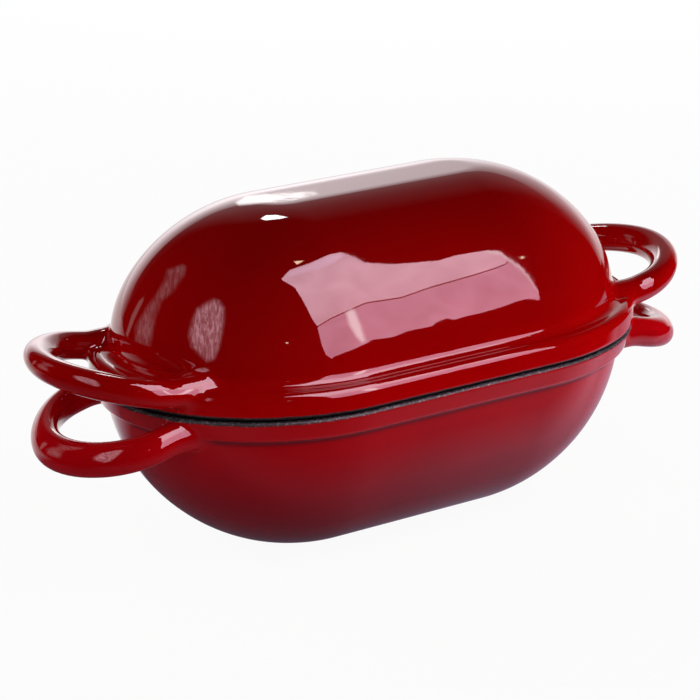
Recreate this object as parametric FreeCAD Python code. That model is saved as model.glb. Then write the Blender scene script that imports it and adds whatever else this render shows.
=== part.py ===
import FreeCAD, Part
import math
import os

# Oblong bread pan in enamelled cast iron: a deep base and a domed lid, each cast in one piece
# with its rim and its two loop handles. The lid rests on the base, rim to rim.
# Lengths are in millimetres and angles in degrees. X runs along the pan, Z is up, and the
# origin is the middle of the foot, on the table.

# Plan of the rims, which both castings share
rim_length = 268.0
rim_width = 161.0
straight_length = 94.0

# Heights
base_height = 80.0
lid_height = 74.8
wall = 4.5
floor_thickness = 5.0

# Base bowl
foot_half_width = 23.0
foot_edge_angle = 12.0
bowl_side_angle = 4.5
bowl_side_pull = 0.64
bowl_foot_pull = 0.33
bowl_end_draft = 7.0

# Rim band of the base
band_height = 10.8
band_taper = 3.6
band_overhang = 3.5
band_edge_radius = 1.2
band_fillet = 1.8
rim_edge_radius = 1.8
mouth_bevel = 1.6

# Lid dome and flange
flange_height = 11.7
flange_edge_radius = 4.0
flange_fillet = 4.4
flange_draft = 0.3
flange_width = 9.6
dome_side_angle = 1.2
dome_side_pull = 0.49
dome_crown_pull = 0.49
crown_half_width = 9.0
dome_end_draft = 2.0

# Locating lip of the lid, which drops into the mouth of the base
lip_depth = 3.0
lip_thickness = 3.5
lip_clearance = 1.0
lip_bevel = 0.8

# Loop handles of the lid
lid_loop_reach = 27.7
lid_loop_half_span = 39.8
lid_loop_height = 12.0
lid_loop_rise = 0.20
lid_bar_width = 13.7
lid_bar_height = 12.7
lid_loop_pull = 0.49

# Loop handles of the base
base_loop_reach = 26.6
base_loop_half_span = 37.8
base_loop_drop = 11.2
base_loop_fall = 0.26
base_bar_width = 13.0
base_bar_height = 14.1
base_loop_pull = 0.52

# Fillet-like flare of the legs where they run into the rims
leg_flare_radius = 6.4
leg_flare_steps = (0.12, 0.4, 1.0)
leg_flare_lift = 0.8
leg_bury = 18.0
arch_steps = 3

# Straight run between a fillet and the curved side beyond it
fillet_run = 1.0

# Sizes worked out from the driving ones
spine = straight_length / 2
rim_half_width = rim_width / 2
end_stretch = (rim_length - straight_length) / rim_width
overall_height = base_height + lid_height
band_bottom = base_height - band_height
band_bottom_half_width = rim_half_width - band_taper
bowl_top = band_bottom - band_fillet - fillet_run
bowl_half_width = band_bottom_half_width - band_overhang
mouth_half_width = bowl_half_width - wall
lip_half_width = mouth_half_width - lip_clearance
lip_inside = lip_half_width - lip_thickness
lip_bottom = base_height - lip_depth
flange_top = base_height + flange_height
dome_spring = flange_top + flange_fillet + fillet_run
dome_half_width = rim_half_width - flange_width

# A quarter circle as one rational quadratic: its three poles and their weights
ARC_X = (0.0, 1.0, 1.0)
ARC_Y = (1.0, 1.0, 0.0)
ARC_WEIGHT = (1.0, math.sqrt(0.5), 1.0)
QUARTERS = ((1, 1), (1, -1), (-1, 1), (-1, -1))
RING_POLES = ((1, 0), (1, 1), (0, 1), (-1, 1), (-1, 0), (-1, -1), (0, -1), (1, -1))

# How far a cavity runs on past the opening it cuts, and the tolerance of the sewn skins
OVERCUT = 2.0
SEWING_TOLERANCE = 1e-5


def tilt(angle):
    """Sine and cosine of an angle in degrees."""
    return math.sin(math.radians(angle)), math.cos(math.radians(angle))


def point(r, z):
    """A profile point: r is the half-width of the plan at height z."""
    return FreeCAD.Vector(r, 0, z)


def bezier(*points, middle_weight=None):
    """Curve edge on its poles. Three poles and a weight in the middle make a circular arc."""
    curve = Part.BezierCurve()
    curve.setPoles(list(points))
    if middle_weight is not None:
        curve.setWeight(2, middle_weight)
    return curve.toShape()


def straight_path(*corners):
    """Straight edges through (r, z) corners."""
    places = [point(r, z) for r, z in corners]
    return [Part.LineSegment(a, b).toShape() for a, b in zip(places, places[1:])]


def rounded_path(*corners):
    """Edges through (r, z, radius) corners, each but the ends rounded to its own radius."""
    places = [point(r, z) for r, z, radius in corners]
    edges = []
    start = places[0]
    for i in range(1, len(places) - 1):
        radius = corners[i][2]
        inward = (places[i - 1] - places[i]).normalize()
        onward = (places[i + 1] - places[i]).normalize()
        half_turn = inward.getAngle(onward) / 2
        setback = radius / math.tan(half_turn)
        arc_start = places[i] + inward * setback
        arc_end = places[i] + onward * setback
        edges.append(Part.LineSegment(start, arc_start).toShape())
        edges.append(bezier(arc_start, places[i], arc_end, middle_weight=math.sin(half_turn)))
        start = arc_end
    edges.append(Part.LineSegment(start, places[-1]).toShape())
    return edges


def patch(curve, across, weights, place):
    """Surface of a profile curve carried across the plan, one pole at a time."""
    profile = curve.getPoles()
    profile_weights = curve.getWeights()
    poles = [[place(pole, j) for j in across] for pole in profile]
    pole_weights = [[w * v for v in weights] for w in profile_weights]
    surface = Part.BSplineSurface()
    degree = len(across) - 1
    surface.buildFromPolesMultsKnots(
        poles, curve.getMultiplicities(), [degree + 1, degree + 1], curve.getKnots(), [0.0, 1.0],
        False, False, curve.Degree, degree, pole_weights)
    return surface.toShape()


def skin(edges, spine_at):
    """Oblong skin of a profile: four stretched quarter turns at the ends and two flanks."""
    faces = []
    for edge in edges:
        curve = edge.Curve.toBSpline(edge.FirstParameter, edge.LastParameter)
        for end, side in QUARTERS:
            def turn(pole, j, end=end, side=side):
                x = spine_at(pole.z) + end_stretch * pole.x * ARC_X[j]
                return FreeCAD.Vector(end * x, side * pole.x * ARC_Y[j], pole.z)

            faces.append(patch(curve, range(3), ARC_WEIGHT, turn))
        for side in (1, -1):
            def flank(pole, j, side=side):
                return FreeCAD.Vector((1 - 2 * j) * spine_at(pole.z), side * pole.x, pole.z)

            faces.append(patch(curve, range(2), (1.0, 1.0), flank))
    return faces


def level_face(r, z, spine_at):
    """Flat oblong face of half-width r at height z."""
    half_straight = spine_at(z)
    edges = []
    for end, side in QUARTERS:
        arc = Part.BezierCurve()
        arc.setPoles([FreeCAD.Vector(end * (half_straight + end_stretch * r * x), side * r * y, z)
                      for x, y in zip(ARC_X, ARC_Y)])
        for j, weight in enumerate(ARC_WEIGHT):
            arc.setWeight(j + 1, weight)
        edges.append(arc.toShape())
    for side in (1, -1):
        flank_start = FreeCAD.Vector(-half_straight, side * r, z)
        flank_end = FreeCAD.Vector(half_straight, side * r, z)
        edges.append(Part.LineSegment(flank_start, flank_end).toShape())
    return Part.Face(Part.Wire(Part.__sortEdges__(edges)))


def oblong_solid(edges, spine_at):
    """Solid inside a profile that runs from its lowest flat face to its highest one."""
    first = edges[0].valueAt(edges[0].FirstParameter)
    last = edges[-1].valueAt(edges[-1].LastParameter)
    faces = skin(edges, spine_at)
    faces.append(level_face(first.x, first.z, spine_at))
    faces.append(level_face(last.x, last.z, spine_at))
    return closed_solid(faces)


def closed_solid(faces):
    """Solid inside faces that close round it."""
    shell = Part.makeShell(faces)
    shell.sewShape(SEWING_TOLERANCE)
    solid = Part.makeSolid(Part.Shell(shell.Faces))
    if solid.Volume < 0:
        solid.reverse()
    return solid


def base_spine(z):
    """Half-length of the plan's straight part in the base, which draws in towards the foot."""
    return spine - bowl_end_draft * max(0.0, 1 - z / bowl_top)


def lid_spine(z):
    """Half-length of the plan's straight part in the lid, which draws in towards the crown."""
    return spine - dome_end_draft * max(0.0, (z - dome_spring) / (overall_height - dome_spring))


def bowl_curve(thickness, bottom):
    """Side of the bowl, set in by a thickness, from its flat bottom up to the rim band."""
    side_sine, side_cosine = tilt(bowl_side_angle)
    foot_sine, foot_cosine = tilt(foot_edge_angle)
    low = point(foot_half_width - thickness * foot_sine, bottom)
    high = point(bowl_half_width - thickness, bowl_top)
    foot_pull = bowl_foot_pull * (high.x - low.x)
    side_pull = bowl_side_pull * (high.z - low.z)
    low_pull = low + point(foot_pull * foot_cosine, foot_pull * foot_sine)
    high_pull = high - point(side_pull * side_sine, side_pull * side_cosine)
    return bezier(low, low_pull, high_pull, high)


def dome_curve(thickness):
    """Side of the dome, set in by a thickness, from above the flange to the flat of the crown."""
    side_sine, side_cosine = tilt(dome_side_angle)
    low = point(dome_half_width - thickness, dome_spring)
    high = point(crown_half_width, overall_height - thickness)
    side_pull = dome_side_pull * (high.z - low.z)
    crown_pull = dome_crown_pull * (low.x - high.x)
    low_pull = low + point(-side_pull * side_sine, side_pull * side_cosine)
    return bezier(low, low_pull, high + point(crown_pull, 0), high)


def base_body():
    """Outside of the base without its handles: foot, bowl and rim band."""
    side_sine, side_cosine = tilt(bowl_side_angle)
    crease = bowl_half_width + (band_bottom - bowl_top) * side_sine / side_cosine
    rim = rounded_path(
        (bowl_half_width, bowl_top, 0),
        (crease, band_bottom, band_fillet),
        (band_bottom_half_width, band_bottom, band_edge_radius),
        (rim_half_width, base_height, rim_edge_radius),
        (mouth_half_width, base_height, 0))
    return oblong_solid([bowl_curve(0, 0)] + rim[:-1], base_spine)


def base_cavity():
    """Inside of the base, with a bevelled mouth, run out past its rim."""
    mouth = straight_path(
        (mouth_half_width, bowl_top),
        (mouth_half_width, base_height - mouth_bevel),
        (mouth_half_width + mouth_bevel, base_height),
        (mouth_half_width + mouth_bevel, base_height + OVERCUT))
    return oblong_solid([bowl_curve(wall, floor_thickness)] + mouth, base_spine)


def lid_body():
    """Outside of the lid without its handles: locating lip, rim, flange and dome."""
    side_sine, side_cosine = tilt(dome_side_angle)
    crease = dome_half_width + (dome_spring - flange_top) * side_sine / side_cosine
    lip = straight_path(
        (lip_half_width - lip_bevel, lip_bottom),
        (lip_half_width, lip_bottom + lip_bevel),
        (lip_half_width, base_height))
    flange = rounded_path(
        (lip_half_width, base_height, 0),
        (rim_half_width, base_height, rim_edge_radius),
        (rim_half_width - flange_draft, flange_top, flange_edge_radius),
        (crease, flange_top, flange_fillet),
        (dome_half_width, dome_spring, 0))
    return oblong_solid(lip + flange + [dome_curve(0)], lid_spine)


def lid_cavity():
    """Inside of the lid, run out past its locating lip."""
    side = straight_path(
        (lip_inside, lip_bottom - OVERCUT),
        (lip_inside, lip_bottom),
        (dome_half_width - wall, dome_spring))
    return oblong_solid(side + [dome_curve(wall)], lid_spine)


def rim_face(y):
    """At a distance y from the middle: how far out the rim's face lies along X, and the angle
    it has turned away from facing along X."""
    run = math.sqrt(rim_half_width ** 2 - y ** 2)
    return spine + end_stretch * run, math.atan2(end_stretch * y, run)


def leg_stations(half_span, bar_width, bar_height):
    """Sections of a leg from inside the casting out to the arch: the fillet where it meets the
    rim is a flare whose sections lean with the rim's face."""
    face, lean = rim_face(half_span)
    stations = []
    for step in leg_flare_steps:
        swell = leg_flare_radius * (1 - math.sqrt(1 - (1 - step) ** 2))
        turn = lean * (1 - step)
        width = bar_width / math.cos(turn) + 2 * swell
        height = bar_height + leg_flare_lift * swell
        stations.append((face + step * leg_flare_radius, half_span, turn, width, height))
    inner = stations[0][1:]
    return [(face - leg_bury,) + inner, (face - leg_bury / 2,) + inner] + stations


def loop_handle(end, half_span, reach, height, slope, bar_width, bar_height, pull):
    """One loop handle with its legs run on through the rim: oval sections along an arch."""
    arch_start = rim_face(half_span)[0] + leg_flare_radius
    arch_depth = rim_length / 2 + reach - arch_start
    arch = Part.BezierCurve()
    arch.setPoles([FreeCAD.Vector(0, half_span, 0), FreeCAD.Vector(pull * arch_depth, half_span, 0),
                   FreeCAD.Vector(arch_depth, pull * half_span, 0), FreeCAD.Vector(arch_depth, 0, 0)])
    stations = leg_stations(half_span, bar_width, bar_height)
    for step in range(1, arch_steps + 1):
        place = arch.value(step / arch_steps)
        heading = arch.tangent(step / arch_steps)[0]
        turn = math.atan2(heading.y, heading.x)
        stations.append((arch_start + place.x, place.y, turn, bar_width, bar_height))
    stations += [(x, -y, math.pi - turn, w, h) for x, y, turn, w, h in reversed(stations[:-1])]
    up = FreeCAD.Vector(-end * slope, 0, 1).normalize()
    rings = []
    for x, y, turn, width, bar in stations:
        rise = slope * max(x - arch_start, -leg_flare_radius)
        middle = FreeCAD.Vector(end * x, y, height + rise)
        across = FreeCAD.Vector(-end * math.sin(turn), math.cos(turn), -slope * math.sin(turn))
        rings.append((middle, across.normalize() * (width / 2), up * (bar / 2)))
    return tube(rings)


def tube(rings):
    """Closed tube through oval rings, each given by its middle and its two half axes."""
    ring_lines = []
    for across_share, up_share in RING_POLES:
        points = [middle + across * across_share + up * up_share for middle, across, up in rings]
        line = Part.BSplineCurve()
        line.interpolate(Points=points, Parameters=[float(i) for i in range(len(rings))])
        ring_lines.append(line)
    faces = [oval_face(*rings[0]), oval_face(*rings[-1])]
    for first in range(0, len(RING_POLES), 2):
        lines = [ring_lines[(first + j) % len(RING_POLES)] for j in range(3)]
        poles = [list(row) for row in zip(*[line.getPoles() for line in lines])]
        surface = Part.BSplineSurface()
        surface.buildFromPolesMultsKnots(
            poles, lines[0].getMultiplicities(), [3, 3], lines[0].getKnots(), [0.0, 1.0],
            False, False, lines[0].Degree, 2, [list(ARC_WEIGHT) for row in poles])
        faces.append(surface.toShape())
    return closed_solid(faces)


def oval_face(middle, across, up):
    """Flat oval on its middle and its two half axes."""
    edges = []
    for first in range(0, len(RING_POLES), 2):
        arc = Part.BezierCurve()
        shares = [RING_POLES[(first + j) % len(RING_POLES)] for j in range(3)]
        arc.setPoles([middle + across * a + up * u for a, u in shares])
        for j, weight in enumerate(ARC_WEIGHT):
            arc.setWeight(j + 1, weight)
        edges.append(arc.toShape())
    return Part.Face(Part.Wire(edges))


def base_pan():
    """The lower casting: bowl, rim band and two loop handles."""
    loops = [loop_handle(end, base_loop_half_span, base_loop_reach, base_height - base_loop_drop,
                         -base_loop_fall, base_bar_width, base_bar_height, base_loop_pull)
             for end in (1, -1)]
    return base_body().fuse(loops).cut(base_cavity())


def lid():
    """The upper casting: dome, flange, locating lip and two loop handles."""
    loops = [loop_handle(end, lid_loop_half_span, lid_loop_reach, base_height + lid_loop_height,
                         lid_loop_rise, lid_bar_width, lid_bar_height, lid_loop_pull)
             for end in (1, -1)]
    return lid_body().fuse(loops).cut(lid_cavity())


os.makedirs("parts", exist_ok=True)
base_pan().exportStep("parts/base_pan.step")
lid().exportStep("parts/lid.step")
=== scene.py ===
import math

import bpy
import numpy as np
from mathutils import Matrix, Vector


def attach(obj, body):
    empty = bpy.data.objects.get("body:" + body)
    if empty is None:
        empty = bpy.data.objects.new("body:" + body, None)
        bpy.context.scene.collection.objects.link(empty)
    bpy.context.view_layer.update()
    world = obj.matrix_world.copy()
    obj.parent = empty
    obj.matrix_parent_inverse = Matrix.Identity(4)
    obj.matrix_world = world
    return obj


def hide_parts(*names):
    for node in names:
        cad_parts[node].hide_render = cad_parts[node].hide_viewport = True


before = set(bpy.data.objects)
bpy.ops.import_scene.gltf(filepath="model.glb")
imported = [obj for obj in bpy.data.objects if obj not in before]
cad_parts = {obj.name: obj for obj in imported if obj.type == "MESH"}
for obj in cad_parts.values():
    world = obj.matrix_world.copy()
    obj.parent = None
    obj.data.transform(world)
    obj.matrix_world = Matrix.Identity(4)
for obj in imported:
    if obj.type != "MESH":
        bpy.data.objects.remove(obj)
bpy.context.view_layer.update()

# The two castings are worked out in millimetres and become meshes in metres. The camera, the panels
# and the lamps are in metres, and azimuths and elevations in degrees, with azimuth 0 at the front.
MM = 0.001

# Plan and heights that both castings share, as in the solids
RIM_LENGTH = 268.0
RIM_HALF = 80.5
SPINE = 47.0
STRETCH = (RIM_LENGTH / 2 - SPINE) / RIM_HALF
PARTING = 80.0
LID_TOP = 154.8
WALL = 4.5
RIM_ROUND = 1.8
FILLET_RUN = 1.0

# Base
FOOT_HALF = 23.0
FOOT_ANGLE = 12.0
FLOOR_THICKNESS = 5.0
BAND_HEIGHT = 10.8
BAND_TAPER = 3.6
BAND_OVERHANG = 3.5
BAND_EDGE = 2.8
BAND_FILLET = 1.8
BAND_BOTTOM = PARTING - BAND_HEIGHT
BOWL_HALF = RIM_HALF - BAND_TAPER - BAND_OVERHANG
BOWL_TOP = BAND_BOTTOM - BAND_FILLET - FILLET_RUN
BOWL_ANGLE = 4.5
BOWL_FOOT_PULL = 0.33
BOWL_SIDE_PULL = 0.64
BOWL_DRAFT = 7.0
MOUTH_BEVEL = 1.6

# Lid
FLANGE_HEIGHT = 11.7
FLANGE_TOP = PARTING + FLANGE_HEIGHT
FLANGE_WIDTH = 9.6
FLANGE_EDGE = 4.0
FLANGE_FILLET = 4.4
FLANGE_DRAFT = 0.3
DOME_HALF = RIM_HALF - FLANGE_WIDTH
DOME_SPRING = FLANGE_TOP + FLANGE_FILLET + FILLET_RUN
DOME_ANGLE = 1.2
DOME_PULL = 0.49
DOME_DRAFT = 2.0
CROWN_HALF = 9.0
LIP_DEPTH = 3.0
LIP_THICKNESS = 3.5
LIP_CLEARANCE = 1.0
LIP_HALF = BOWL_HALF - WALL - LIP_CLEARANCE
LIP_IN = LIP_HALF - LIP_THICKNESS
LIP_BOTTOM = PARTING - LIP_DEPTH
LIP_BEVEL = 0.8
LIP_RISE = 2.0
LIP_TOP_ROUND = 0.2

# Loop handles: half the span of the legs, reach past the rim, height and slope of their plane,
# thickness of the bar, roundness of the arch, and the width of the soft blend into the rim
LEG_FLARE = 6.4
LEG_BEND = 5.0
LID_LOOP = dict(half_span=39.8, reach=27.7, height=PARTING + 12.0, slope=0.20,
                width=13.7, depth=12.7, pull=0.49, blend=4.4)
BASE_LOOP = dict(half_span=37.8, reach=26.6, height=PARTING - 11.2, slope=-0.26,
                 width=13.0, depth=14.1, pull=0.52, blend=3.6)

# Finishes that the solids don't have: the ground rims stand back near the outside, and the edges
# of the walls are broken
SEAT = 0.01
RIM_GAP = 0.55
RIM_GAP_DEPTH = 7.0
RIM_GAP_RUN = 3.0
WALL_EDGE = 0.35

# How far outlines run on past the place where another form cuts them off, how much the lid's
# hollow widens there, and the heights and the half-width that the tables of distances cover
BEYOND = 20.0
HOLLOW_FLARE = 3.0
BASE_RANGE = (-6.0, PARTING + 8.0)
LID_RANGE = (PARTING - 8.0, LID_TOP + 8.0)
TABLE_HALF = 92.0


# Profiles in (r, z), r being the half-width of the plan at height z

def sine_cosine(angle):
    return math.sin(math.radians(angle)), math.cos(math.radians(angle))


def bezier(poles, steps=260):
    t = np.linspace(0.0, 1.0, steps + 1)[:, None]
    a, b, c, d = [np.array(p, float) for p in poles]
    return (1 - t) ** 3 * a + 3 * (1 - t) ** 2 * t * b + 3 * (1 - t) * t ** 2 * c + t ** 3 * d


def rounded(corners, steps=14):
    """Points along straight runs whose corners are rounded, each to its own radius."""
    out = [np.array(corners[0][:2], float)]
    for i in range(1, len(corners) - 1):
        before, corner, after = [np.array(c[:2], float) for c in corners[i - 1:i + 2]]
        radius = corners[i][2]
        if radius <= 0:
            out.append(corner)
            continue
        back = (before - corner) / np.linalg.norm(before - corner)
        on = (after - corner) / np.linalg.norm(after - corner)
        half = math.acos(float(np.clip(back @ on, -1, 1))) / 2
        middle = corner + (back + on) / np.linalg.norm(back + on) * radius / math.sin(half)
        first = corner + back * radius / math.tan(half) - middle
        last = corner + on * radius / math.tan(half) - middle
        start, end = math.atan2(first[1], first[0]), math.atan2(last[1], last[0])
        turn = (end - start + math.pi) % (2 * math.pi) - math.pi
        for k in range(steps + 1):
            angle = start + turn * k / steps
            out.append(middle + radius * np.array([math.cos(angle), math.sin(angle)]))
    out.append(np.array(corners[-1][:2], float))
    return np.array(out)


def bowl_side(thickness, bottom):
    """Side of the bowl from the edge of the foot to the band, moved in by a thickness."""
    side_sine, side_cosine = sine_cosine(BOWL_ANGLE)
    foot_sine, foot_cosine = sine_cosine(FOOT_ANGLE)
    low = np.array([FOOT_HALF - thickness * foot_sine, bottom])
    high = np.array([BOWL_HALF - thickness, BOWL_TOP])
    foot = BOWL_FOOT_PULL * (high[0] - low[0])
    side = BOWL_SIDE_PULL * (high[1] - low[1])
    from_low = low + (foot * foot_cosine, foot * foot_sine)
    to_high = high - (side * side_sine, side * side_cosine)
    return bezier([low, from_low, to_high, high])


def dome_side(thickness):
    """Side of the dome from the flange's fillet to the flat crown, moved in by a thickness."""
    side_sine, side_cosine = sine_cosine(DOME_ANGLE)
    low = np.array([DOME_HALF - thickness, DOME_SPRING])
    high = np.array([CROWN_HALF, LID_TOP - thickness])
    side = DOME_PULL * (high[1] - low[1])
    crown = DOME_PULL * (low[0] - high[0])
    return bezier([low, low + (-side * side_sine, side * side_cosine), high + (crown, 0), high])


def base_outline():
    side_sine, side_cosine = sine_cosine(BOWL_ANGLE)
    crease = BOWL_HALF + (BAND_FILLET + FILLET_RUN) * side_sine / side_cosine
    taper = BAND_TAPER / BAND_HEIGHT
    rim = rounded([(BOWL_HALF, BOWL_TOP, 0), (crease, BAND_BOTTOM, BAND_FILLET),
                   (RIM_HALF - BAND_TAPER, BAND_BOTTOM, BAND_EDGE),
                   (RIM_HALF + taper * BEYOND, PARTING + BEYOND, 0)])
    return np.vstack([[(0, 0)], bowl_side(0, 0), rim[1:], [(0, PARTING + BEYOND)]])


def base_hollow():
    mouth = BOWL_HALF - WALL
    side = [(mouth, PARTING - MOUTH_BEVEL), (mouth + MOUTH_BEVEL, PARTING),
            (mouth + MOUTH_BEVEL + BEYOND, PARTING + BEYOND)]
    return np.vstack([[(0, FLOOR_THICKNESS)], bowl_side(WALL, FLOOR_THICKNESS), side,
                      [(0, PARTING + BEYOND)]])


def lid_outline():
    side_sine, side_cosine = sine_cosine(DOME_ANGLE)
    crease = DOME_HALF + (DOME_SPRING - FLANGE_TOP) * side_sine / side_cosine
    flange = rounded([(RIM_HALF, PARTING - BEYOND, 0), (RIM_HALF, PARTING, 0),
                      (RIM_HALF - FLANGE_DRAFT, FLANGE_TOP, FLANGE_EDGE),
                      (crease, FLANGE_TOP, FLANGE_FILLET), (DOME_HALF, DOME_SPRING, 0)])
    return np.vstack([[(0, PARTING - BEYOND)], flange[:-1], dome_side(0), [(0, LID_TOP)]])


def lid_hollow():
    side = [(LIP_IN + HOLLOW_FLARE, LIP_BOTTOM - BEYOND), (LIP_IN, LIP_BOTTOM)]
    return np.vstack([[(0, LIP_BOTTOM - BEYOND)], side, dome_side(WALL), [(0, LID_TOP - WALL)]])


# Smooth distances read from tables

class Table:
    """A function of two coordinates kept on a grid and read back with cubic B-splines."""

    def __init__(self, origin, step, values):
        self.origin, self.step, self.values = origin, step, values

    def __call__(self, a, b):
        ga = np.clip((a - self.origin[0]) / self.step, 1, self.values.shape[0] - 3.001)
        gb = np.clip((b - self.origin[1]) / self.step, 1, self.values.shape[1] - 3.001)
        ia, ib = ga.astype(np.int64), gb.astype(np.int64)
        wa, wb = spline_weights(ga - ia), spline_weights(gb - ib)
        flat, width = self.values.ravel(), self.values.shape[1]
        out = np.zeros_like(ga)
        for i in range(4):
            row = (ia + i - 1) * width + ib
            out += wa[i] * sum(wb[j] * flat[row + j - 1] for j in range(4))
        return out


def spline_weights(t):
    return ((1 - t) ** 3 / 6, (3 * t ** 3 - 6 * t ** 2 + 4) / 6,
            (-3 * t ** 3 + 3 * t ** 2 + 3 * t + 1) / 6, t ** 3 / 6)


def line_distance(line, a, b):
    """Distance of each grid point of a (rows) and b (columns) to a line of points."""
    p, q = line[:-1], line[1:]
    run = q - p
    keep = (run ** 2).sum(1) > 1e-12
    p, run = p[keep], run[keep]
    length2 = (run ** 2).sum(1)
    out = np.empty((len(a), len(b)))
    for i, x in enumerate(a):
        dx, dz = x - p[:, 0], b[:, None] - p[None, :, 1]
        t = np.clip((dx * run[:, 0] + dz * run[:, 1]) / length2, 0, 1)
        out[i] = np.sqrt(((dx - t * run[:, 0]) ** 2 + (dz - t * run[:, 1]) ** 2).min(1))
    return out


def resample(line, step):
    """The line with its long straight runs kept and its dense curves thinned to about a step."""
    out = [line[0]]
    for i in range(1, len(line) - 1):
        if np.linalg.norm(line[i] - out[-1]) >= step:
            out.append(line[i])
    out.append(line[-1])
    return np.array(out)


def signed_distance(line, a, b, thinning=0.16, nudge=1e-7):
    """Distance of each grid point to a line of points, negative where the line closes it in. The
    nudge keeps the levels off the line's own points."""
    p, q = line[:-1], line[1:]
    inside = np.zeros((len(a), len(b)), bool)
    for j, level in enumerate(b + nudge):
        cut = (p[:, 1] <= level) != (q[:, 1] <= level)
        pr, qr = p[cut], q[cut]
        r = pr[:, 0] + (level - pr[:, 1]) / (qr[:, 1] - pr[:, 1]) * (qr[:, 0] - pr[:, 0])
        inside[:, j] = (r[None, :] > a[:, None]).sum(1) % 2 == 1
    dist = line_distance(resample(line, thinning), a, b)
    return np.where(inside, -dist, dist)


def profile_table(outline, heights, step=0.3):
    """Signed distance to a profile that starts and ends on the middle line, negative inside."""
    a = np.arange(-4 * step, TABLE_HALF, step)
    b = np.arange(*heights, step)
    return Table((a[0], b[0]), step, signed_distance(outline, np.abs(a), b))


def loop_start(loop):
    return SPINE + STRETCH * math.sqrt(RIM_HALF ** 2 - loop["half_span"] ** 2) + LEG_FLARE


def loop_table(loop, step=0.5, margin=30, inward=60, leg_run=80, past_middle=4):
    """Signed distance in the loop's own plane to its middle line, positive outside the loop, with
    the place where the arch starts and the cosine of the plane's slope."""
    start = loop_start(loop)
    cosine = 1 / math.hypot(1, loop["slope"])
    deep = (SPINE + STRETCH * RIM_HALF + loop["reach"] - start) / cosine
    span, pull = loop["half_span"], loop["pull"]
    arch = bezier([(0, span), (pull * deep, span), (deep, pull * span), (deep, 0)], 300)
    line = np.vstack([[(-leg_run, span)], arch, [(deep, -past_middle - 2)]])
    a, b = np.arange(-inward, deep + margin, step), np.arange(-past_middle, span + margin, step)
    dist = line_distance(line, a, b)
    reach = np.interp(b, arch[::-1, 1], arch[::-1, 0], right=-np.inf)
    reach[b < 0] = deep
    inside = a[:, None] < reach[None, :]
    return Table((a[0], b[0]), step, np.where(inside, -dist, dist)), start, cosine


# The castings as fields: negative inside the iron

def round_max(a, b, radius):
    """Where two fields both hold, with the edge between them rounded."""
    corner = np.hypot(np.maximum(a + radius, 0), np.maximum(b + radius, 0))
    return np.minimum(-radius, np.maximum(a, b)) + corner


def blend_min(a, b, width):
    """Union of two fields with a soft fillet between them."""
    h = np.clip(width - np.abs(a - b), 0, None) / width
    return np.minimum(a, b) - h ** 3 * width / 6


def soft_floor(x, low, width):
    """x kept above low, with a soft bend."""
    h = np.clip(width - np.abs(x - low), 0, None) / width
    return np.maximum(x, low) + h ** 3 * width / 6


def plan_radius(x, y, spine):
    out = np.maximum(np.abs(x) - spine, 0) / STRETCH
    return np.hypot(out, y)


def handle_distance(loop, tables, x, y, z):
    """Distance to a loop's oval bar, whose legs level out where they run into the rim."""
    table, start, cosine = tables
    along = np.abs(x) - start
    rise = loop["slope"] * soft_floor(along, -LEG_FLARE, LEG_BEND)
    across = table(along / cosine, np.abs(y))
    up = (z - loop["height"] - rise) * cosine
    a, b = loop["width"] / 2, loop["depth"] / 2
    return (np.sqrt((across / a) ** 2 + (up / b) ** 2 + 1e-9) - 1) * (a + b) / 2


def base_spine(z):
    return SPINE - BOWL_DRAFT * np.clip(1 - z / BOWL_TOP, 0, 1.2)


def lid_spine(z):
    return SPINE - DOME_DRAFT * np.clip((z - DOME_SPRING) / (LID_TOP - DOME_SPRING), 0, 1.2)


base_outer = profile_table(base_outline(), BASE_RANGE)
base_inner = profile_table(base_hollow(), BASE_RANGE)
lid_outer = profile_table(lid_outline(), LID_RANGE)
lid_inner = profile_table(lid_hollow(), LID_RANGE)
base_loop = loop_table(BASE_LOOP)
lid_loop = loop_table(LID_LOOP)


def rim_gap(r):
    """How far each ground rim stands back from the parting plane near the outside."""
    return SEAT + RIM_GAP * np.clip((r - RIM_HALF + RIM_GAP_DEPTH) / RIM_GAP_RUN, 0, 1)


def base_field(x, y, z):
    r = plan_radius(x, y, base_spine(z))
    handles = handle_distance(BASE_LOOP, base_loop, x, y, z)
    body = blend_min(base_outer(r, z), handles, BASE_LOOP["blend"])
    body = round_max(body, z - PARTING + rim_gap(r), RIM_ROUND)
    return round_max(body, -base_inner(r, z), WALL_EDGE)


def lid_field(x, y, z):
    r = plan_radius(x, y, lid_spine(z))
    handles = handle_distance(LID_LOOP, lid_loop, x, y, z)
    body = blend_min(lid_outer(r, z), handles, LID_LOOP["blend"])
    body = round_max(body, PARTING + rim_gap(r) - z, RIM_ROUND)
    lip = round_max(r - LIP_HALF, LIP_BOTTOM - z, LIP_BEVEL)
    lip = round_max(lip, z - PARTING - LIP_RISE, LIP_TOP_ROUND)
    return round_max(np.minimum(body, lip), -lid_inner(r, z), WALL_EDGE)


# Meshes from a field

CORNERS = [(i, j, k) for i in (0, 1) for j in (0, 1) for k in (0, 1)]
CELL_EDGES = [(a, b) for a in CORNERS for b in CORNERS
              if sum(b) == sum(a) + 1 and sum(abs(p - q) for p, q in zip(a, b)) == 1]


def spaced(*runs):
    """Grid lines through (end, step) runs, the first of them (start, None)."""
    out = [runs[0][0]]
    for end, step in runs[1:]:
        n = max(1, round((end - out[-1]) / step))
        out += list(np.linspace(out[-1], end, n + 1)[1:])
    return np.array(out)


def slope_of(field, p, eps=0.04):
    g = np.empty_like(p)
    for k in range(3):
        step = np.zeros(3)
        step[k] = eps
        ahead, behind = p + step, p - step
        g[:, k] = (field(*ahead.T) - field(*behind.T)) / (2 * eps)
    return g


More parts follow.
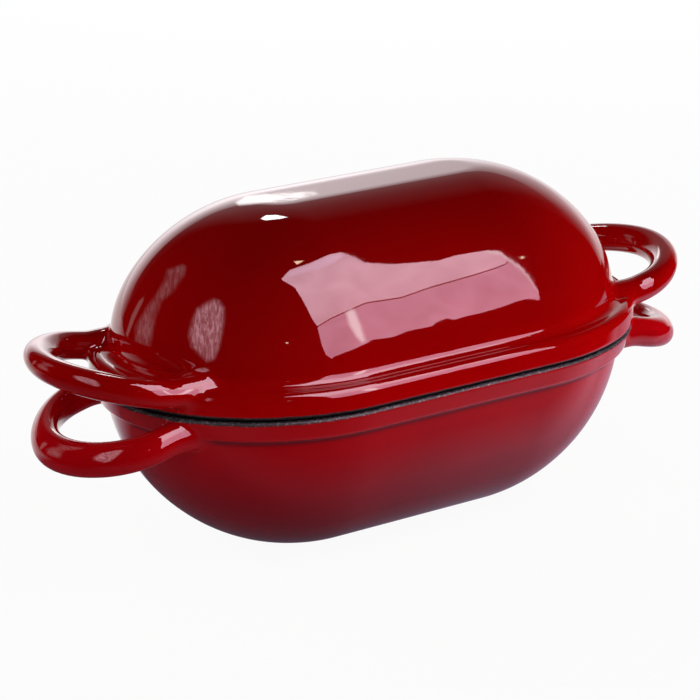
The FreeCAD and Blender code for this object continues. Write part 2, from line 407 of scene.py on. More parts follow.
def unit_rows(vectors):
    return vectors / np.maximum(np.linalg.norm(vectors, axis=1), 1e-6)[:, None]


def sample(field, xs, ys, zs):
    """The field's values on a grid, worked out one plane of x at a time."""
    values = np.empty((len(xs), len(ys), len(zs)))
    gy, gz = [g.ravel() for g in np.meshgrid(ys, zs, indexing="ij")]
    for i, x in enumerate(xs):
        values[i] = field(np.full(gy.shape, x), gy, gz).reshape(len(ys), len(zs))
    return values


def crossed_cells(inside):
    """The cells that the surface crosses, and each grid cell's number among them, or -1."""
    shape = [n - 1 for n in inside.shape]
    count = sum(inside[tuple(slice(c, c + n) for c, n in zip(corner, shape))].astype(np.int8)
                for corner in CORNERS)
    cells = np.argwhere((count > 0) & (count < len(CORNERS)))
    index = np.full(count.shape, -1, np.int64)
    index[tuple(cells.T)] = np.arange(len(cells))
    return cells, index


def edge_means(values, cells, axes):
    """For each cell the mean of the places where the surface cuts its edges."""
    total, hits = np.zeros((len(cells), 3)), np.zeros(len(cells))
    for a, b in CELL_EDGES:
        ca, cb = cells + a, cells + b
        fa, fb = values[tuple(ca.T)], values[tuple(cb.T)]
        cut = (fa < 0) != (fb < 0)
        t = np.where(cut, fa / np.where(cut, fa - fb, 1), 0)
        for k in range(3):
            pa, pb = axes[k][ca[:, k]], axes[k][cb[:, k]]
            total[:, k] += np.where(cut, pa + t * (pb - pa), 0)
        hits += cut
    return total / hits[:, None]


def settle(field, points, size, rounds=5):
    """Moves the points onto the surface, each by up to half a cell at a time."""
    for _ in range(rounds):
        g = slope_of(field, points)
        move = -(field(*points.T) / np.maximum((g ** 2).sum(1), 0.2))[:, None] * g
        points += np.clip(move, -0.5 * size, 0.5 * size)


def crossing_quads(inside, index):
    """One quad round each grid edge that the surface crosses, facing out."""
    quads = []
    limit = np.array(index.shape)
    for k in range(3):
        u, v = (k + 1) % 3, (k + 2) % 3
        near, far = [slice(None)] * 3, [slice(None)] * 3
        near[k], far[k] = slice(0, -1), slice(1, None)
        crossing = np.argwhere(inside[tuple(near)] != inside[tuple(far)])
        place = crossing[:, [u, v]]
        crossing = crossing[(place > 0).all(1) & (place < limit[[u, v]]).all(1)]
        ring = []
        for du, dv in ((-1, -1), (0, -1), (0, 0), (-1, 0)):
            cell = crossing.copy()
            cell[:, u] += du
            cell[:, v] += dv
            ring.append(index[tuple(cell.T)])
        ring = np.stack(ring, 1)
        outward = inside[tuple(crossing.T)]
        ring[~outward] = ring[~outward][:, ::-1]
        quads.append(ring)
    return np.vstack(quads)


def surface_net(field, axes):
    """Closed quad surface where the field is zero: one corner per cell that it crosses, moved
    onto the surface, with the surface's own normals."""
    values = sample(field, *axes)
    inside = values < 0
    cells, index = crossed_cells(inside)
    points = edge_means(values, cells, axes)
    size = np.stack([axes[k][cells[:, k] + 1] - axes[k][cells[:, k]] for k in range(3)], 1)
    settle(field, points, size)
    return points, unit_rows(slope_of(field, points)), crossing_quads(inside, index)


def casting(name, field, *axes):
    """A smooth-shaded piece from a field, with its points in millimetres and its quads."""
    points, normals, quads = surface_net(field, axes)
    mesh = bpy.data.meshes.new(name)
    mesh.vertices.add(len(points))
    mesh.vertices.foreach_set("co", (points * MM).ravel())
    mesh.loops.add(quads.size)
    mesh.loops.foreach_set("vertex_index", quads.ravel())
    mesh.polygons.add(len(quads))
    mesh.polygons.foreach_set("loop_start", np.arange(0, quads.size, 4))
    mesh.update(calc_edges=True)
    mesh.validate()
    mesh.polygons.foreach_set("use_smooth", np.ones(len(mesh.polygons), bool))
    mesh.normals_split_custom_set_from_vertices(normals.tolist())
    piece = bpy.data.objects.new(name, mesh)
    bpy.context.scene.collection.objects.link(piece)
    return piece, points, quads


# Grid lines in millimetres, wide along the straight middle and fine round the ends, the rims and
# the handles. The heights start a little below each casting, so that no level meets a flat side.
FINE = 1.4
STRAIGHT_END = 41.0
STRAIGHT_STEP = 8.2
DOME_END = 112.0
LOOP_END = 172.0
SIDE_END = 84.0
CROWN_END = 30.0

ends = spaced((STRAIGHT_END, None), (DOME_END, FINE), (LOOP_END, FINE * 0.85))
straight = spaced((-STRAIGHT_END, None), (STRAIGHT_END, STRAIGHT_STEP))
along = np.concatenate([-ends[::-1], straight[1:-1], ends])
across = spaced((-SIDE_END, None), (-CROWN_END, FINE), (CROWN_END, FINE * 1.25), (SIDE_END, FINE))
base_heights = spaced((-3.07, None), (40.0, FINE * 1.3), (62.0, FINE), (83.2, FINE * 0.5))
lid_heights = spaced((74.23, None), (102.0, FINE * 0.5), (140.0, FINE), (158.0, FINE * 1.2))

base, base_points, base_quads = casting("base_casting", base_field, along, across, base_heights)
cover, cover_points, cover_quads = casting("lid_casting", lid_field, along, across, lid_heights)
for piece, node, slot in ((base, "base_pan", "base_enamel"), (cover, "lid", "lid_enamel")):
    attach(piece, "root")
    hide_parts(node)


# Shader nodes

class Graph:
    """The nodes of a material or of the world, with a short call for each kind in use here."""

    def __init__(self, owner):
        owner.use_nodes = True
        self.nodes, self.links = owner.node_tree.nodes, owner.node_tree.links

    def feed(self, socket, value):
        """Links a socket to another node's output, or sets it to a number, a colour or a vector."""
        if isinstance(value, bpy.types.NodeSocket):
            self.links.new(value, socket)
        elif socket.type == "RGBA":
            socket.default_value = (*value, 1)
        else:
            socket.default_value = value

    def node(self, kind, settings=None, **inputs):
        made = self.nodes.new(kind)
        for key, value in (settings or {}).items():
            setattr(made, key, value)
        for key, value in inputs.items():
            self.feed(made.inputs[key.replace("_", " ")], value)
        return made

    def maths(self, operation, a, b=None, clamp=False):
        made = self.node("ShaderNodeMath", {"operation": operation, "use_clamp": clamp})
        self.feed(made.inputs[0], a)
        if b is not None:
            self.feed(made.inputs[1], b)
        return made.outputs[0]

    def plus(self, a, b):
        return self.maths("ADD", a, b)

    def minus(self, a, b):
        return self.maths("SUBTRACT", a, b)

    def times(self, a, b, clamp=False):
        return self.maths("MULTIPLY", a, b, clamp)

    def remap(self, value, start, end, low=0.0, high=1.0, kind="LINEAR"):
        made = self.node("ShaderNodeMapRange", {"interpolation_type": kind}, Value=value,
                         From_Min=start, From_Max=end, To_Min=low, To_Max=high)
        return made.outputs["Result"]

    def noise(self, place, scale, detail=2.0, roughness=0.5, bend=0.0):
        made = self.node("ShaderNodeTexNoise", Vector=place, Scale=scale, Detail=detail,
                         Roughness=roughness, Distortion=bend)
        return made.outputs["Fac"]

    def waver(self, place, scale, detail, amount):
        """Noise that swings about zero."""
        return self.times(self.minus(self.noise(place, scale, detail), 0.5), amount)

    def ramp(self, value, stops):
        """Colours or grey levels through (place, level) stops."""
        made = self.node("ShaderNodeValToRGB", Fac=value)
        elements = made.color_ramp.elements
        while len(elements) < len(stops):
            elements.new(0.5)
        for element, (at, level) in zip(elements, stops):
            element.position = at
            element.color = (*level, 1) if isinstance(level, tuple) else (level, level, level, 1)
        return made.outputs["Color"]

    def mix(self, factor, a, b):
        made = self.node("ShaderNodeMix", {"data_type": "RGBA"}, Factor=factor)
        self.feed(made.inputs[6], a)
        self.feed(made.inputs[7], b)
        return made.outputs[2]

    def bump(self, height, distance, onto=None):
        made = self.node("ShaderNodeBump", Height=height, Strength=1.0, Distance=distance)
        if onto is not None:
            self.feed(made.inputs["Normal"], onto)
        return made.outputs["Normal"]

    def attribute(self, name, output="Fac"):
        return self.node("ShaderNodeAttribute", {"attribute_name": name}).outputs[output]

    def place(self):
        """The object's own coordinates, whole and as X, Y and Z."""
        place = self.node("ShaderNodeTexCoord").outputs["Object"]
        split = self.node("ShaderNodeSeparateXYZ", Vector=place)
        return place, split.outputs["X"], split.outputs["Y"], split.outputs["Z"]

    def emission(self, colour, strength):
        return self.node("ShaderNodeEmission", Color=colour, Strength=strength).outputs[0]

    def either(self, factor, first, second):
        """The first surface where the factor is 0 and the second where it is 1."""
        made = self.node("ShaderNodeMixShader")
        for socket, value in zip(made.inputs, (factor, first, second)):
            self.feed(socket, value)
        return made.outputs[0]

    def show(self, surface):
        self.feed(self.nodes["Material Output"].inputs["Surface"], surface)


def material(name):
    made = bpy.data.materials.new(name)
    graph = Graph(made)
    return made, graph, graph.nodes["Principled BSDF"]


def mark(mesh, name, kind, values):
    """Keeps a value or a vector with each point of a mesh, for its material."""
    key = "value" if kind == "FLOAT" else "vector"
    mesh.attributes.new(name, kind, "POINT").data.foreach_set(key, np.ravel(values))


# Enamel. The reds follow the height as a share of the whole and are painted light and shade, bright at
# the band and flange and darker towards the crown and the foot. The irons follow a fine noise.
PAINTED_SHADE_REDS = [(0.04, (0.150, 0.0008, 0.0042)), (0.24, (0.235, 0.0008, 0.0046)), (0.36, (0.345, 0.0008, 0.0046)),
        (0.48, (0.430, 0.0006, 0.0030)), (0.56, (0.385, 0.0003, 0.0008)), (0.64, (0.315, 0.0003, 0.0008)),
        (0.85, (0.260, 0.0002, 0.0006)), (0.95, (0.220, 0.0002, 0.0006))]
# Painted shade: a darker red for the crease under the band, where shade falls.
CREASE_PAINTED_SHADE = (0.150, 0.006, 0.012)
BARE_IRON = [(0.42, (0.009, 0.009, 0.011)), (0.56, (0.028, 0.027, 0.031)), (0.70, (0.160, 0.155, 0.160))]
BROWN_IRON = [(0.40, (0.006, 0.005, 0.006)), (0.75, (0.050, 0.034, 0.036))]
BLACKS = [(0.45, (0.010, 0.010, 0.011)), (0.72, (0.034, 0.034, 0.036))]
BLACK_ROUGHNESS = [(0.35, 0.38), (0.7, 0.52)]
RED_ROUGHNESS = 0.02
IRON_ROUGHNESS = 0.55
ENAMEL_IOR = 1.52

# The worn strip: where it starts to narrow towards the middle, its half-height before and after,
# how ragged its edges are, and how sharp they are and the change from base to lid is
WORN_LEFT = -0.10
WORN_WIDE = 0.0018
WORN_NARROW = 0.0013
WORN_RAGGED = 0.0011
WORN_SHARPNESS = 1700
LID_SHARPNESS = 5000

# Noises: scale, detail and amount of the ragged edges and of the cloudy red, scales of the specks
# and the grit, and scale, detail and height in metres of the enamel's waves, peel and grit
RAGGED = (260, 4.0, WORN_RAGGED)
CLOUD = (18, 3.0, 0.16)
SPECK_SCALE = 900
GRIT_SCALE = 1400
SHEEN_NOISE = (40, 3.0)
WAVE_NOISE, WAVE_HEIGHT = (22, 1.0), 0.00002
PEEL_NOISE, PEEL_HEIGHT = (170, 1.5), 0.000004
GRIT_NOISE, GRIT_HEIGHT = (700, 2.0), 0.00006


def red_enamel():
    """Glossy red glass enamel with painted light and shade: bright at the rims and deep at the crown and
    the foot, with painted shade in the crease under the band, and worn to black iron in a thin speckled
    line at the ground rims."""
    made, graph, shader = material("red_enamel")
    place, x, _, z = graph.place()
    off = graph.maths("ABSOLUTE", graph.minus(z, PARTING * MM))
    ragged = graph.waver(place, *RAGGED)
    worn = graph.remap(x, WORN_LEFT, 0.0, WORN_WIDE, WORN_NARROW)
    red_share = graph.times(graph.minus(graph.plus(off, ragged), worn), WORN_SHARPNESS, clamp=True)
    cloud = graph.waver(place, *CLOUD)
    height = graph.plus(graph.maths("DIVIDE", z, LID_TOP * MM), cloud)
    # Painted shade in the crease under the band, laid over the reds, which carry painted light and shade
    # by height.
    red = graph.mix(graph.attribute("crease"), graph.ramp(height, PAINTED_SHADE_REDS), CREASE_PAINTED_SHADE)
    speck = graph.noise(place, SPECK_SCALE)
    on_lid = graph.times(graph.minus(z, PARTING * MM), LID_SHARPNESS, clamp=True)
    iron = graph.mix(on_lid, graph.ramp(speck, BARE_IRON), graph.ramp(speck, BROWN_IRON))
    graph.feed(shader.inputs["Base Color"], graph.mix(red_share, iron, red))
    roughness = graph.remap(red_share, 0.0, 1.0, IRON_ROUGHNESS, RED_ROUGHNESS)
    graph.feed(shader.inputs["Roughness"], roughness)
    shader.inputs["IOR"].default_value = ENAMEL_IOR
    wave = graph.bump(graph.noise(place, *WAVE_NOISE), WAVE_HEIGHT)
    peel = graph.bump(graph.noise(place, *PEEL_NOISE), PEEL_HEIGHT, onto=wave)
    graph.feed(shader.inputs["Normal"], peel)
    return made


def black_enamel():
    """Matt black enamel of the inside, faintly speckled like fine grit."""
    made, graph, shader = material("black_enamel")
    place = graph.place()[0]
    graph.feed(shader.inputs["Base Color"], graph.ramp(graph.noise(place, GRIT_SCALE), BLACKS))
    sheen = graph.ramp(graph.noise(place, *SHEEN_NOISE), BLACK_ROUGHNESS)
    graph.feed(shader.inputs["Roughness"], sheen)
    grit = graph.bump(graph.noise(place, *GRIT_NOISE), GRIT_HEIGHT)
    graph.feed(shader.inputs["Normal"], grit)
    return made


enamel, inside_enamel = red_enamel(), black_enamel()

# Where the black begins: how near to the hollow, and on the ground rims how far from the parting
# plane and from the outside
BLACK_SKIN = 0.45
BLACK_RIM_HEIGHT = 3.2
RED_RIM_WIDTH = 2.2

# The painted shade in the crease: its middle, out from the bowl's side and down from the band, its width,
# and the distance from the handles over which it fades in
CREASE_OUT = 0.8
CREASE_DOWN = 1.0
CREASE_WIDTH = 1.6
CREASE_FULL = 1.4
CREASE_CLEAR = 3.0


def dress(piece, points, quads, hollow, spine):
    piece.data.materials.append(enamel)
    piece.data.materials.append(inside_enamel)
    middle = points[quads].mean(1)
    r = plan_radius(middle[:, 0], middle[:, 1], spine(middle[:, 2]))
    black = np.abs(hollow(r, middle[:, 2])) < BLACK_SKIN
    on_rim = np.abs(middle[:, 2] - PARTING) < BLACK_RIM_HEIGHT
    black |= on_rim & (r < RIM_HALF - RED_RIM_WIDTH)
    piece.data.polygons.foreach_set("material_index", black.astype(np.int32))


def mark_painted_crease_shade(piece, points):
    """Marks the crease under the band, away from the handles, where shade is painted into the enamel's
    red.
    """
    x, y, z = points.T
    r = plan_radius(x, y, base_spine(z))
    away = np.hypot(r - BOWL_HALF - CREASE_OUT, z - BAND_BOTTOM + CREASE_DOWN)
    clear = np.clip(handle_distance(BASE_LOOP, base_loop, x, y, z) / CREASE_CLEAR, 0, 1)
    mark(piece.data, "crease", "FLOAT", np.clip(CREASE_FULL - away / CREASE_WIDTH, 0, 1) * clear)


dress(base, base_points, base_quads, base_inner, base_spine)
mark_painted_crease_shade(base, base_points)
dress(cover, cover_points, cover_quads, lid_inner, lid_spine)


# Camera: azimuth, elevation and roll, then metres, and pixels for the focal length and the frame
CAMERA_TURN = (-32.92, 18.56, -0.97)
CAMERA_TARGET = Vector((-0.00973, 0, 0.07699))
CAMERA_DISTANCE = 1.19222
FOCAL = 2616.49
HALF_FRAME = 350
SENSOR = 36.0
FAR_CLIP = 30


def direction(azimuth, elevation):
    a, e = math.radians(azimuth), math.radians(elevation)
    return Vector((math.sin(a) * math.cos(e), -math.cos(a) * math.cos(e), math.sin(e)))


def camera_axes():
    azimuth, roll = math.radians(CAMERA_TURN[0]), math.radians(CAMERA_TURN[2])
    back = direction(*CAMERA_TURN[:2])
    level = Vector((math.cos(azimuth), math.sin(azimuth), 0))
    upright = back.cross(level)
    right = level * math.cos(roll) + upright * math.sin(roll)
    up = upright * math.cos(roll) - level * math.sin(roll)
    return right, up, back, CAMERA_TARGET + back * CAMERA_DISTANCE


def add_camera():
    right, up, back, place = camera_axes()
    data = bpy.data.cameras.new("camera")
    data.sensor_width = SENSOR
    data.lens = FOCAL / (2 * HALF_FRAME) * SENSOR
    data.clip_end = FAR_CLIP
    cam = bpy.data.objects.new("camera", data)
    cam.matrix_world = Matrix.Translation(place) @ Matrix((right, up, back)).transposed().to_4x4()
    bpy.context.scene.collection.objects.link(cam)
    bpy.context.scene.camera = cam


add_camera()


# Panels that only show in reflections

# Looks of a panel: size of its pattern across and down in pixels, detail, bend, and brightness
# levels along the noise
LOOKS = {
    "foil": ((3.6, 17.0), 2.0, 1.3, [(0.36, 0.42), (0.50, 0.72), (0.60, 1.20), (0.70, 1.45)]),
    "cloth": ((46.0, 30.0), 2.0, 0.8, [(0.30, 0.86), (0.70, 1.12)]),
}
PATTERN_ROUGHNESS = 0.55

# Grid of a panel in pixels: its longest side in steps, and the least and the greatest step
PANEL_STEPS = 30
PANEL_STEP_RANGE = (0.6, 2.0)

# Search for the lid along a camera ray: how far before the target it starts, in millimetres, how
# often it moves on, and by which share of the distance left
RAY_HEAD_START = 260
RAY_MOVES = 90
RAY_SHARE = 0.9


def stage_piece(name, mesh):
    piece = bpy.data.objects.new(name, mesh)
    bpy.context.scene.collection.objects.link(piece)
    return piece


def glow(name):
    made, graph, shader = material(name)
    graph.nodes.remove(shader)
    return made, graph


def mirrored(pixels):
    """Where the camera's rays through these places of the picture meet the lid, in millimetres,
    and the directions in which its glossy surface mirrors them."""
    right, up, back, place = camera_axes()
    rays = [(right * (px - HALF_FRAME) + up * (HALF_FRAME - py) - back * FOCAL).normalized()
            for px, py in pixels]
    ray = np.array(rays)
    at = np.array(place) / MM + ray * (CAMERA_DISTANCE / MM - RAY_HEAD_START)
    for _ in range(RAY_MOVES):
        at += ray * (lid_field(*at.T) * RAY_SHARE)[:, None]
    normal = unit_rows(slope_of(lid_field, at))
    return at, ray - 2 * (ray * normal).sum(1)[:, None] * normal


def panel_mesh(name, corners, distance):
    """A mesh whose mirror image on the lid has these corners in the picture, with all its points
    at one distance. Each point keeps its place in the picture and its depth inside the outline."""
    line = np.array(corners + corners[:1], float)
    low, high = line.min(0), line.max(0)
    step = float(np.clip((high - low).max() / PANEL_STEPS, *PANEL_STEP_RANGE))
    px, py = [np.arange(low[k] - 1.5 * step, high[k] + 2 * step, step) for k in (0, 1)]
    depth = -signed_distance(line, px, py)
    deepest = np.maximum.reduce([depth[:-1, :-1], depth[1:, :-1], depth[:-1, 1:], depth[1:, 1:]])
    square = np.array([(0, 0), (1, 0), (1, 1), (0, 1)])
    cells = np.argwhere(deepest > 0)[:, None, :] + square
    spots, faces = np.unique(cells.reshape(-1, 2), axis=0, return_inverse=True)
    pixels = np.stack([px[spots[:, 0]], py[spots[:, 1]]], 1)
    at, out = mirrored(pixels)
    mesh = bpy.data.meshes.new(name)
    mesh.from_pydata((at * MM + out * distance).tolist(), [], faces.reshape(-1, 4).tolist())
    mark(mesh, "inner", "FLOAT", depth[spots[:, 0], spots[:, 1]])
    mark(mesh, "picture", "FLOAT_VECTOR", np.column_stack([pixels, np.zeros(len(pixels))]))
    return mesh


def patterned(graph, look):
    """Brightness of crumpled foil or folded cloth, laid out over the picture."""
    size, detail, bend, levels = LOOKS[look]
    stretch = graph.node("ShaderNodeMapping", Vector=graph.attribute("picture", "Vector"),
                         Scale=(1 / size[0], 1 / size[1], 1.0))
    noise = graph.noise(stretch.outputs[0], 1.0, detail, PATTERN_ROUGHNESS, bend)
    return graph.ramp(noise, levels)


def panel(name, corners, distance, colour, strength, soft=0.8, look=None):
    """A light panel, plain or with a look, its edge faded over some pixels of the picture. It
    lights nothing but shows in reflections."""
    mesh = panel_mesh(name, corners, distance)
    piece = stage_piece(name, mesh)
    piece.visible_camera = False
    piece.visible_diffuse = False
    piece.visible_shadow = False
    made, graph = glow(name + "_glow")
    mesh.materials.append(made)
    level = graph.times(patterned(graph, look), strength) if look else strength
    fade = graph.remap(graph.attribute("inner"), 0.0, soft, kind="SMOOTHSTEP")
    clear = graph.node("ShaderNodeBsdfTransparent").outputs[0]
    graph.show(graph.either(fade, clear, graph.emission(colour, level)))


# Outlines of the panels' mirror images, in pixels of the picture. The soft box has an upper and a
# lower half that meet at a fold.
FOLD = [(317, 327.0), (330, 319.2), (349, 310.4), (366.7, 303.0), (400.4, 297.9), (432.7, 286.9),
        (476.7, 274.4), (498.7, 267.1), (508.2, 263.2)]
FOLD_GAP = 0.3
UPPER_EDGE = [(280, 280), (289.4, 269.7), (309.2, 262.9), (329, 254.2), (341.5, 251.7), (353.5, 255.7),
              (365.2, 262), (391.6, 264), (412, 262.6), (438.6, 260.1), (456.2, 254.9), (473.8, 252),
              (488.4, 249.8), (498.7, 250.5), (508.4, 256)]
UPPER_LEFT = [(312.7, 320.5), (303.2, 301.6), (294.6, 287.8), (284.3, 281.8)]
UPPER_SOFTBOX = UPPER_EDGE + [(x, y - FOLD_GAP) for x, y in FOLD[::-1]] + UPPER_LEFT
LOWER_EDGE = [(510.5, 257.6), (520.7, 265.9), (531, 277.7), (538.3, 288.7), (540.8, 297.5), (539, 301.1),
              (528, 298.9), (516.3, 301.9), (503.1, 307), (491.4, 310.4), (481.1, 313.3), (466.4, 316.5),
              (454.7, 320.2), (445.9, 318.8), (438.6, 321.7), (431.2, 326.8), (412.1, 330.5),
              (404.8, 332.7), (393.1, 337.4), (372.5, 340), (365.2, 344.4), (352, 350.3), (334.4, 356.9),
              (331.6, 359.3), (325.6, 355), (321.3, 344.7)]
LOWER_SOFTBOX = FOLD + LOWER_EDGE
SOFTBOX_CORNER = [(281, 280.5), (289.4, 270.3), (309.2, 263.5), (329, 254.8), (341.5, 252.2), (345, 256),
                  (334, 264.5), (318, 271), (300, 275)]
SOFTBOX_HEM = [(473.8, 252), (488.4, 249.8), (498.7, 250.5), (509, 256.4), (520.7, 265.9), (531, 277.7),
               (538.3, 288.7), (540.8, 297.5), (536, 291), (527, 278), (513, 264), (500, 255.5),
               (486, 253.5)]
SOFTBOX_STREAK = [(343, 312), (351, 306), (357, 309), (363, 324), (368, 342), (362, 346), (354, 338),
                  (347, 326)]
SIDE_SCREEN = [(205, 300), (214, 296), (222, 299), (227, 308), (227, 322), (224, 336), (222, 348),
               (216, 361), (207, 365), (198, 357), (189, 348), (186, 336), (189, 320), (195, 307)]
FAR_SCREEN = [(165, 268), (183, 262), (189, 266), (186, 277), (174, 295), (164, 302), (158, 318),
              (155, 334), (152, 351), (133, 346), (133, 326), (143, 308), (155, 292), (162, 280)]
FAR_STREAK = [(146, 293), (144, 301), (135, 320), (128, 338), (125, 346), (124.5, 336), (131, 315),
              (138, 301)]
BRIGHT_PATCH = [(232, 202), (246, 195), (268, 192.5), (300, 191), (316, 190), (322, 194), (300, 199),
                (272, 203), (250, 206), (238, 207)]
TOP_LAMP = [(259, 219), (266, 215), (276, 214.6), (290, 217), (281, 219), (266, 220.6)]
SMALL_LAMPS = [([(293, 261), (306, 260), (297, 265)], (1.0, 0.75, 0.5)),
               ([(285.4, 342), (288.6, 342), (288.6, 344), (285.4, 344)], (1.0, 0.85, 0.7)),
               ([(520.6, 256), (524, 255.4), (525.4, 258), (522, 259.5)], (1.0, 0.8, 0.6))]
LAMP_DISTANCE = 1.5
LAMP_STRENGTH = 16.0

panel("softbox_upper", UPPER_SOFTBOX, 1.30, (1.0, 0.66, 0.80), 9.4, look="cloth")
panel("softbox_lower", LOWER_SOFTBOX, 1.30, (1.0, 0.55, 0.74), 7.4, look="cloth")
panel("softbox_corner", SOFTBOX_CORNER, 1.28, (1.0, 0.70, 0.90), 10.0, soft=3.0)
panel("softbox_hem", SOFTBOX_HEM, 1.28, (1.0, 0.78, 0.85), 10.5, soft=1.2)
panel("softbox_streak", SOFTBOX_STREAK, 1.26, (1.0, 0.82, 0.88), 13.0, soft=5.5)
panel("side_screen", SIDE_SCREEN, 1.2, (1.0, 0.66, 0.76), 4.3, soft=8.0, look="foil")
panel("far_screen", FAR_SCREEN, 1.4, (1.0, 0.80, 0.86), 0.95, soft=7.0, look="foil")
panel("far_streak", FAR_STREAK, 1.4, (1.0, 0.80, 0.80), 0.7, soft=1.6)
panel("bright_patch", BRIGHT_PATCH, 1.9, (1.0, 1.0, 1.0), 4.6, soft=4.0)
panel("top_lamp", TOP_LAMP, LAMP_DISTANCE, (1.0, 1.0, 1.0), LAMP_STRENGTH)
for number, (corners, colour) in enumerate(SMALL_LAMPS, 1):
    panel(f"small_lamp_{number}", corners, LAMP_DISTANCE, colour, LAMP_STRENGTH)


# The bright screen behind the pan: azimuth, elevation of its top, and its brightness low, half-way
# and at the top, with a dim glow above it
SCREEN = [(104, 21, 0.5, 0.05, 0.02), (112, 22, 1.2, 0.45, 0.10), (120, 24, 1.6, 0.85, 0.42),
          (130, 25, 1.4, 0.95, 0.75), (139, 25, 1.2, 1.6, 0.7), (150, 25.5, 1.3, 2.8, 1.0),
          (162, 25.5, 1.5, 2.5, 0.85), (171, 23.5, 1.8, 1.7, 0.65), (180, 18, 1.8, 1.4, 0.7),
          (189, 12, 1.3, 0.8, 0.5), (198, 8, 0.3, 0.15, 0.0)]
SCREEN_RADIUS = 2.2
SCREEN_COLUMNS = 45
SCREEN_COLOUR = (1.0, 0.97, 1.0)
GLOW_AZIMUTHS = [110, 122, 164, 180]
GLOW_LEVELS = [0.03, 0.24, 0.30, 0.04]


def backdrop():
    """A bright curved screen behind the pan that only shows in reflections."""
    columns = np.array(SCREEN)
    azimuths = np.linspace(columns[0, 0], columns[-1, 0], SCREEN_COLUMNS)
    tops, low, middle, high = [np.interp(azimuths, columns[:, 0], columns[:, k]) for k in (1, 2, 3, 4)]
    dim = np.interp(azimuths, GLOW_AZIMUTHS, GLOW_LEVELS)
    rows = [(0.0, low), (0.2, 0.5 * (low + middle)), (0.4, middle), (0.7, 0.55 * middle + 0.45 * high),
            (0.98, high), (1.04, dim), (1.6, 0.5 * dim), (2.2, 0 * low)]
    verts, faces, lit = [], [], []
    for i, (azimuth, top) in enumerate(zip(azimuths, tops)):
        a = math.radians(azimuth)
        for share, level in rows:
            z = SCREEN_RADIUS * math.tan(math.radians(top * share))
            verts.append((SCREEN_RADIUS * math.sin(a), -SCREEN_RADIUS * math.cos(a), z))
            lit.append(level[i])
    for i in range(1, len(azimuths)):
        for k in range(len(rows) - 1):
            here = i * len(rows) + k
            before = here - len(rows)
            faces.append((before, before + 1, here + 1, here))
    mesh = bpy.data.meshes.new("backdrop")
    mesh.from_pydata(verts, [], faces)
    mark(mesh, "brightness", "FLOAT", lit)
    piece = stage_piece("backdrop", mesh)
    piece.visible_camera = False
    piece.visible_diffuse = False
    made, graph = glow("backdrop_glow")
    mesh.materials.append(made)
    graph.show(graph.emission(SCREEN_COLOUR, graph.attribute("brightness")))


backdrop()


# Soft lamps: azimuth, elevation, level, width and height
LAMPS = {
    "right": (88, 5, 0.60, 0.9, 0.36),
    "right_front": (50, 6, 0.42, 0.9, 0.40),
    "front": (-30, 15, 0.05, 0.8, 0.6),
    "high_right": (30, 45, 0.23, 0.9, 0.9),
    "left": (-65, 12, 0.05, 0.8, 0.5),
    "high_left": (-50, 45, 0.20, 0.9, 0.9),
    "back_right": (145, 14, 0.35, 0.9, 0.6),
    "back_left": (-145, 20, 0.45, 0.9, 0.7),
}
LAMP_AWAY = 1.6
LAMP_AIM = Vector((0, 0, 0.07))


def soft_lamp(name, azimuth, elevation, level, width, height):
    """A soft lamp that lights without showing in reflections. At level 1 it alone would light a
    surface that faces it so that its colour comes out as written."""
    data = bpy.data.lights.new(name, "AREA")
    data.shape, data.size, data.size_y = "RECTANGLE", width, height
    data.energy = level * (math.pi * LAMP_AWAY) ** 2
    lamp = bpy.data.objects.new(name, data)
    away = direction(azimuth, elevation)
    lamp.location = away * LAMP_AWAY + LAMP_AIM
    lamp.rotation_mode = "QUATERNION"
    lamp.rotation_quaternion = away.to_track_quat("Z", "Y")
    lamp.visible_camera = False
    lamp.visible_glossy = False
    bpy.context.scene.collection.objects.link(lamp)


for name, settings in LAMPS.items():
    soft_lamp(name, *settings)


# Floor, and the sheets that the pan mirrors in it, which glow with painted light and the pan's painted
# shadow. Their brightness goes through stops of a place in metres and a level: the near sheet by x, at
# its front edge, towards the pan, at its right end and at its left end, and the rear sheet from its front
# and from its left. Each front slants, and bends at a place along x.
FLOOR_HALF = 6.0
FLOOR_GREY = (0.8, 0.8, 0.8)
FLOOR_WHITE_SHARE = 0.94
NEAR_ACROSS = [(-0.30, 0.06), (-0.10, 0.09), (-0.05, 0.12), (0.0, 0.19), (0.06, 0.30), (0.12, 0.45),
               (0.20, 0.64)]
NEAR_FRONT = [(-0.26, 0.0), (-0.20, 0.75), (-0.08, 1.0)]
NEAR_PAN = [(-0.14, 0.60), (-0.10, 1.10), (-0.08, 1.30), (-0.05, 0.75)]
NEAR_RIGHT = [(0.46, 1.0), (0.50, 0.0)]
NEAR_LEFT = [(-0.42, 0.0), (-0.28, 1.0)]
NEAR_BEND, NEAR_SLANT = 0.10, 0.5
REAR_FRONT = [(0.03, 0.0), (0.12, 1.0)]
REAR_LEFT = [(-0.40, 0.0), (-0.08, 1.0)]
REAR_SLANT = 0.35
REAR_BEND, REAR_BEND_SLANT = 0.15, 0.7
REAR_LEFT_SLANT = 0.22
REAR_LEVEL = 1.1
NEAR_TINT = (1.25, 1.0, 1.35)
WHITE = (1.0, 1.0, 1.0)


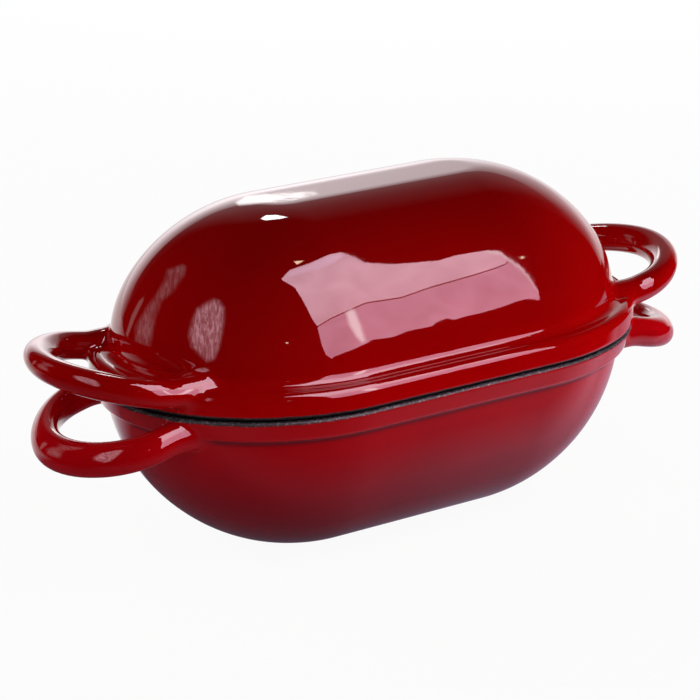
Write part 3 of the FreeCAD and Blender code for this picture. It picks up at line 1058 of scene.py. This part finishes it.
def painted_floor_light_and_shadow(graph, x, y):
    """What the pan mirrors in the floor, a glow of painted light and shadow: a sheet of paper that ends
    in front of it, with the pan's painted shadow to its left and under its edge, a painted bright strip
    just in front of it and more light to its right, and a bright floor behind it that starts past the
    pan's painted shadow."""
    def graded(value, stops, shift=0.5):
        """Brightness by place. The shift keeps the places within the ramp."""
        return graph.ramp(graph.plus(value, shift), [(at + shift, level) for at, level in stops])

    def beyond(start, slope):
        """How far x is past a start, times a slope."""
        return graph.times(graph.maths("MAXIMUM", graph.plus(x, -start), 0.0), slope)

    front = graded(graph.minus(y, beyond(NEAR_BEND, NEAR_SLANT)), NEAR_FRONT)
    right_end = graph.ramp(graph.minus(x, y), NEAR_RIGHT)
    sheet = graph.times(graded(x, NEAR_ACROSS), front)
    near = graph.times(sheet, graph.times(graded(y, NEAR_PAN), right_end))
    near = graph.times(near, graded(x, NEAR_LEFT, 0.7))
    turn = graph.minus(graph.times(x, REAR_SLANT), beyond(REAR_BEND, REAR_BEND_SLANT))
    behind = graded(graph.plus(y, turn), REAR_FRONT)
    beside = graded(graph.plus(x, graph.times(y, REAR_LEFT_SLANT)), REAR_LEFT, 0.7)
    rear = graph.times(graph.times(behind, beside), REAR_LEVEL)
    return graph.emission(graph.mix(behind, NEAR_TINT, WHITE), graph.maths("MAXIMUM", near, rear))


def floor():
    """White floor: nearly pure white to the camera, which still sees the pan's soft shadow."""
    mesh = bpy.data.meshes.new("floor")
    square = [(sx * FLOOR_HALF, sy * FLOOR_HALF, 0) for sx, sy in ((-1, -1), (1, -1), (1, 1), (-1, 1))]
    mesh.from_pydata(square, [], [(0, 1, 2, 3)])
    stage_piece("floor", mesh)
    made, graph, shader = material("floor_paint")
    graph.feed(shader.inputs["Base Color"], FLOOR_GREY)
    shader.inputs["Roughness"].default_value = 0.9
    shader.inputs["Specular IOR Level"].default_value = 0.0
    _, x, y, _ = graph.place()
    paths = graph.node("ShaderNodeLightPath").outputs
    white_share = graph.times(paths["Is Camera Ray"], FLOOR_WHITE_SHARE)
    seen = graph.either(white_share, shader.outputs[0], graph.emission(WHITE, 1.0))
    # Glossy rays see the floor's painted light and shadow instead of its shading.
    graph.show(graph.either(paths["Is Glossy Ray"], seen, painted_floor_light_and_shadow(graph, x, y)))
    mesh.materials.append(made)


floor()

ROOM_LIGHT = 0.03
ROOM_MIRRORED = 0.004


def sky():
    """A nearly dark room, white only where the camera looks past the floor."""
    world = bpy.data.worlds.new("studio")
    bpy.context.scene.world = world
    graph = Graph(world)
    paths = graph.node("ShaderNodeLightPath").outputs
    dim = graph.plus(graph.times(paths["Is Diffuse Ray"], ROOM_LIGHT), ROOM_MIRRORED)
    background = graph.nodes["Background"]
    graph.feed(background.inputs["Color"], WHITE)
    graph.feed(background.inputs["Strength"], graph.plus(paths["Is Camera Ray"], dim))


sky()
bpy.context.scene.view_settings.view_transform = "Standard"
